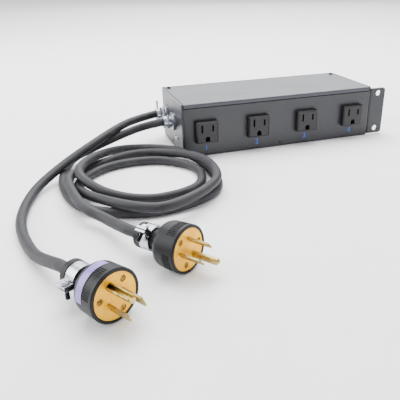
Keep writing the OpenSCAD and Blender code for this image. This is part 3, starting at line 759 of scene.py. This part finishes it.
def clamp_screws(name, place, tip):
    """The two screws of a clamp: heads on the upper ears, threads down to the tip."""
    shape = bmesh.new()
    for side in (-1, 1):
        spot = place @ Matrix.Translation((side * SCREW_X / 1000, 0, 0))
        thread = [(THREAD_TIP, -tip)]
        for k in range(int((tip + STRAP_TOP) / PITCH)):
            thread += [(THREAD_HIGH, -tip + PITCH * (k + 0.5)), (THREAD_LOW, -tip + PITCH * (k + 1))]
        # Painted shade: the thread takes the second finish, the black steel, while the head stays bright zinc.
        turned(shape, spot, thread, 1, 16)
        disc = [(radius, STRAP_TOP + high) for radius, high in HEAD]
        turned(shape, spot, disc)
        for way in (-1, 1):
            half_moon(shape, spot, way, disc[-1], (HEAD_TOP[0], STRAP_TOP + HEAD_TOP[1]))
    bmesh.ops.recalc_face_normals(shape, faces=shape.faces)
    made = made_from(shape, name)
    made.data.materials.append(zinc.material)
    made.data.materials.append(black_steel.material)
    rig.slot(made, "zinc")
    return made


# %% The clamps of both plugs
clamp_parts = {"a": [], "b": []}
for plug, tip in (("a", 9.6), ("b", 9.0)):
    place = (plug_frame(plug) @ Matrix.Rotation(math.radians(CLAMP_TURN[plug]), 4, "Z")
             @ Matrix.Translation((0, 0, -CLAMP_AT / 1000)))
    screws = clamp_screws(f"clamp_screws_{plug}", place, tip)
    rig.replaces(screws, f"strap_screws_{plug}")
    clamp_parts[plug].append(screws)

swing_angle = math.radians(CLAMP_TURN["b"] - CLAMP_TURN["a"])
swing = plug_frame("b") @ Matrix.Rotation(swing_angle, 4, "Z") @ plug_frame("b").inverted()
for stem in ("strap", "cradle"):
    solid = nodes[f"{stem}_b"]
    mesh = solid.data.copy()
    mesh.transform(swing @ solid.matrix_world)
    turned_strap = new_object(f"turned_{stem}_b", mesh)
    soften(turned_strap, 0.12)
    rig.replaces(turned_strap, f"{stem}_b")
    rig.slot(turned_strap, "zinc")
    clamp_parts["b"].append(turned_strap)
print("clamp pieces:", [piece.name for pieces in clamp_parts.values() for piece in pieces])

# %% [markdown]
# ## Numbers at the outlets
#
# Each outlet has a plain blue number printed under it. The figures are a skin of paint that stands
# a twentieth of a millimetre proud of the front of the case.

# %% Printed numbers
FIGURE_SIZE, FIGURE_PROUD = 0.0085, 0.00005  # metres
BASELINE = at(0, 0, 7)
paint = Finish("blue_print", roughness=0.45, specular_ior_level=0.4)
paint_clouds = paint.noise(2.5, 3, 0.6)
paint.feed({"Base Color": paint.mix(paint_clouds, srgb(4, 84, 196), srgb(16, 112, 232))})
paint.bump(paint.noise(0.6, 2), 0.02, 0.4)
for i in (1, 2, 3, 4):
    outlet = nodes[f"outlet_{i}"]
    across = [(outlet.matrix_world @ Vector(corner)).x for corner in outlet.bound_box]
    middle = (min(across) + max(across)) / 2
    figure = bpy.data.curves.new("figure", "FONT")
    figure.body, figure.align_x = str(i), "CENTER"
    figure.size, figure.extrude = FIGURE_SIZE, FIGURE_PROUD
    drawn_figure = bpy.data.objects.new("figure", figure)
    mesh = bpy.data.meshes.new_from_object(drawn_figure)
    bpy.data.objects.remove(drawn_figure)
    upright = Matrix.Rotation(math.radians(90), 4, "X")
    mesh.transform(Matrix.Translation((middle, BASELINE.y, BASELINE.z)) @ upright)
    number = new_object(f"number_{i}", mesh)
    number.data.materials.clear()
    number.data.materials.append(paint.material)
print("numbers printed: 4")

# %% [markdown]
# ## Floor and light
#
# A product like this is shown on a pale ground. A wide pale floor is marked as stage, because it
# isn't part of the object. Three soft boxes light it: a large one overhead, a slightly blue one low
# behind, which the lid reflects, and one on the left for the side with the connectors. The front
# faces none of them and gets only what the room and the floor give it, which keeps it dark.

# %% Stage and lights
FLOOR_HALF, FLOOR_Z, ROOM_STRENGTH = 4, -0.0002, 1.25
floor_shape = bmesh.new()
for x, y in ((-1, -1), (1, -1), (1, 1), (-1, 1)):
    floor_shape.verts.new((x * FLOOR_HALF, y * FLOOR_HALF, FLOOR_Z))
floor_shape.faces.new(floor_shape.verts)
floor_mesh = bpy.data.meshes.new("floor")
floor_shape.to_mesh(floor_mesh)
floor_shape.free()
floor = bpy.data.objects.new("floor", floor_mesh)
bpy.context.scene.collection.objects.link(floor)
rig.stage(floor)
white = Finish("white_floor", roughness=0.9, specular_ior_level=0.1)
white.feed({"Base Color": white.mix(white.noise(60, 2).ramp(0.3, 0.7),
                                    (0.93, 0.93, 0.935), (0.95, 0.95, 0.955))})
floor.data.materials.append(white.material)

world = bpy.data.worlds.new("room")
bpy.context.scene.world = world
world.use_nodes = True
background = world.node_tree.nodes["Background"]
background.inputs["Color"].default_value = (1, 1, 1.02, 1)
background.inputs["Strength"].default_value = ROOM_STRENGTH


def soft_box(name, place, target, width, height, watts, colour=(1, 1, 1)):
    data = bpy.data.lights.new(name, "AREA")
    data.shape, data.size, data.size_y = "RECTANGLE", width, height
    data.energy, data.color = watts, colour
    lamp = bpy.data.objects.new(name, data)
    bpy.context.scene.collection.objects.link(lamp)
    lamp.location = place
    lamp.rotation_mode = "QUATERNION"
    lamp.rotation_quaternion = (Vector(target) - Vector(place)).to_track_quat("-Z", "Y")


soft_box("overhead", (0.1, 0.45, 1.3), (0, 0, 0.03), 1.6, 1.2, 60)
soft_box("behind", (0.7, 1.9, 1.0), (0, 0, 0.03), 1.8, 0.9, 22, (0.94, 0.97, 1))
soft_box("left", (-1.3, 0.3, 0.6), (-0.1, 0, 0.03), 0.8, 0.8, 16)
print("lights:", [o.name for o in bpy.context.scene.objects if o.type == "LIGHT"])

# %% [markdown]
# ## Declare and finish
#
# The cords are declared with their real length and thickness, and with what is on their ends. The
# box of the dressed part is written down beside that of the drawing.

plug_names = ["shell", "face", "face_screws", "line_blade", "neutral_blade", "ground_pin",
              "strap", "cradle", "strap_screws"]
for piece, line, end in ((cord_a, line_a, "a"), (cord_b, line_b, "b")):
    on_it = [nodes[f"{stem}_{end}"] for stem in plug_names] + clamp_parts[end]
    on_it += [lilac] if end == "a" else []
    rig.cord(piece, exit=line[0], length=round(length(line), 3), diameter=CORD / 1000,
            far_end="plug", stiffness="medium", lay="loose", path=line, with_pieces=on_it)

low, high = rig.bounds()
with open("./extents.json", "w") as out:
    json.dump({"cad": [list(cad_low), list(cad_high)], "dressed": [list(low), list(high)]}, out)
print("dressed box:", [round(v, 4) for v in low], [round(v, 4) for v in high])
